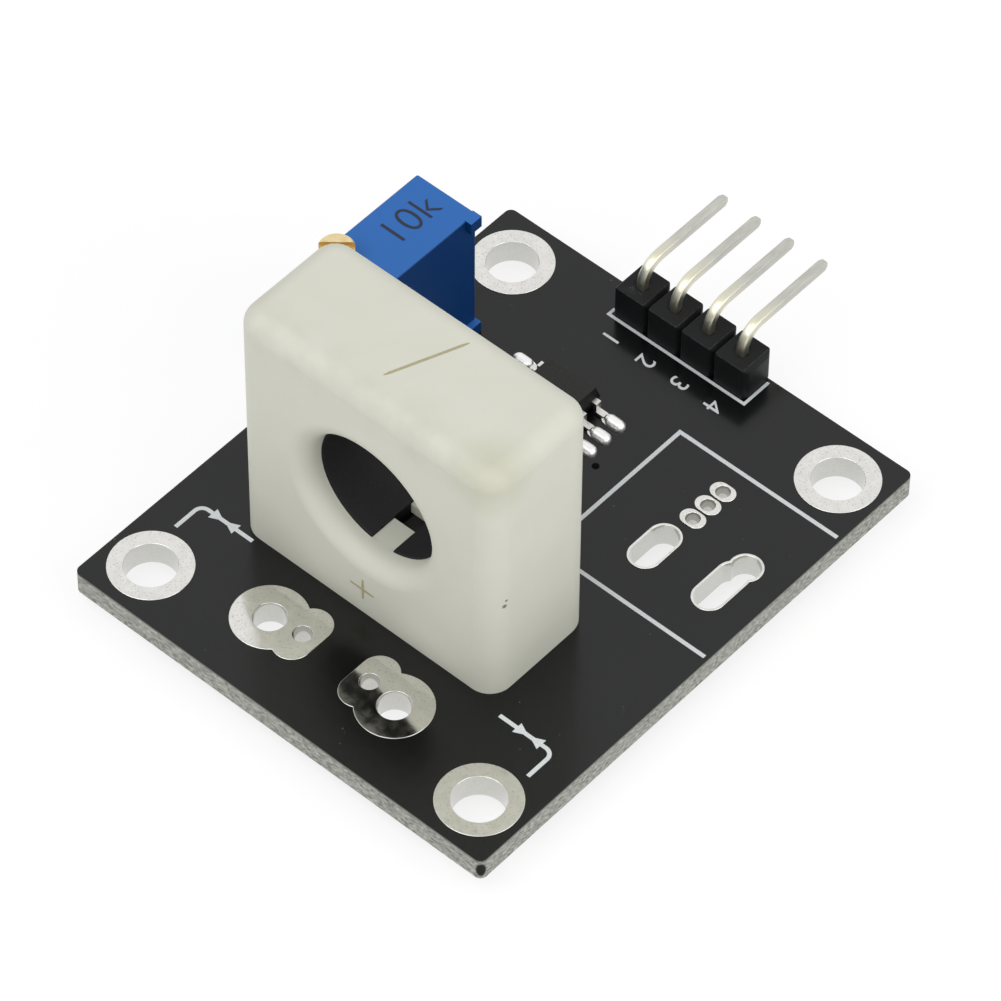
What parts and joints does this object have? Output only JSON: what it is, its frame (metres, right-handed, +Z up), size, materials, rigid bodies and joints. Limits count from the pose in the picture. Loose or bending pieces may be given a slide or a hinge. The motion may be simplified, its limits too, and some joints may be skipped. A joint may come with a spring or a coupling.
{
  "type": "hall effect current sensor module",
  "caption": "Small circuit board with a moulded through-bore current sensor, a multiturn trimmer, a comparator chip and a bent pin header.",
  "frame": {"origin": "centre of the four mounting holes on the underside of the board", "axes": "+Z up from the board towards the sensor block, +Y the way the header pins point, +X along the header's row"},
  "size_m": [0.031, 0.0437, 0.0215],
  "materials": {
    "board_fibreglass": "satin black solder mask on fibreglass",
    "print_white": "matt white ink",
    "tin_plating": "bright uneven tin",
    "ivory_moulding": "matt warm ivory moulding",
    "core_ferrite": "matt charcoal ferrite",
    "black_epoxy": "satin black moulding compound",
    "tinned_lead": "satin tinned lead",
    "solder": "bright solder",
    "blue_moulding": "satin blue moulding",
    "casting_resin": "cast grey resin",
    "screw_brass": "turned brass",
    "seal_rubber": "matt rubber",
    "rotor_nylon": "natural nylon",
    "spring_bronze": "rolled spring bronze",
    "element_ceramic": "unglazed alumina",
    "header_nylon": "satin black nylon",
    "pin_tin": "drawn and tinned pin",
    "resistor_ceramic": "glazed black top",
    "capacitor_ceramic": "tan ceramic",
    "led_resin": "clear cast resin"
  },
  "bodies": {
    "module": {"board_pad_left": "tin_plating", "board_pad_right": "tin_plating", "board_print": "print_white", "capacitor_1": "capacitor_ceramic", "capacitor_2": "capacitor_ceramic", "chip_solder": "solder", "circuit_board": "board_fibreglass", "comparator_body": "black_epoxy", "comparator_lead_1": "tinned_lead", "comparator_lead_2": "tinned_lead", "comparator_lead_3": "tinned_lead", "comparator_lead_4": "tinned_lead", "comparator_lead_5": "tinned_lead", "comparator_lead_6": "tinned_lead", "comparator_lead_7": "tinned_lead", "comparator_lead_8": "tinned_lead", "comparator_solder": "solder", "hall_chip": "black_epoxy", "hall_lead_1": "tinned_lead", "hall_lead_2": "tinned_lead", "hall_lead_3": "tinned_lead", "hall_solder_1": "solder", "hall_solder_2": "solder", "hall_solder_3": "solder", "header_housing": "header_nylon", "header_pin_1": "pin_tin", "header_pin_2": "pin_tin", "header_pin_3": "pin_tin", "header_pin_4": "pin_tin", "header_solder_1": "solder", "header_solder_2": "solder", "header_solder_3": "solder", "header_solder_4": "solder", "indicator_led": "led_resin", "mounting_ring_1": "tin_plating", "mounting_ring_2": "tin_plating", "mounting_ring_3": "tin_plating", "mounting_ring_4": "tin_plating", "resistor_1": "resistor_ceramic", "resistor_2": "resistor_ceramic", "sensor_core": "core_ferrite", "sensor_housing": "ivory_moulding", "spare_hole_ring_1": "tin_plating", "spare_hole_ring_2": "tin_plating", "spare_hole_ring_3": "tin_plating", "spare_keyhole_lining": "tin_plating", "spare_slot_lining": "tin_plating", "trimmer_base": "casting_resin", "trimmer_element": "element_ceramic", "trimmer_housing": "blue_moulding", "trimmer_pin_1": "tinned_lead", "trimmer_pin_2": "tinned_lead", "trimmer_pin_3": "tinned_lead", "trimmer_solder_1": "solder", "trimmer_solder_2": "solder", "trimmer_solder_3": "solder"},
    "adjuster": {"trimmer_screw": "screw_brass", "trimmer_seal": "seal_rubber"},
    "rotor": {"trimmer_rotor": "rotor_nylon", "trimmer_wiper": "spring_bronze"}
  },
  "joints": [
    {"name": "screw_turn", "type": "hinge", "parent": "module", "child": "adjuster", "pos_m": [-0.014, 0.00198, 0.0066], "axis": [0, 0, 1], "range_deg": [-4500, 4500]},
    {"name": "rotor_turn", "type": "hinge", "parent": "module", "child": "rotor", "pos_m": [-0.014, 0.00563, 0.0066], "axis": [1, 0, 0], "range_deg": [-150, 150]}
  ],
  "couplings": [
    {"joint": "rotor_turn", "follows": "screw_turn", "ratio": 0.033333}
  ]
}
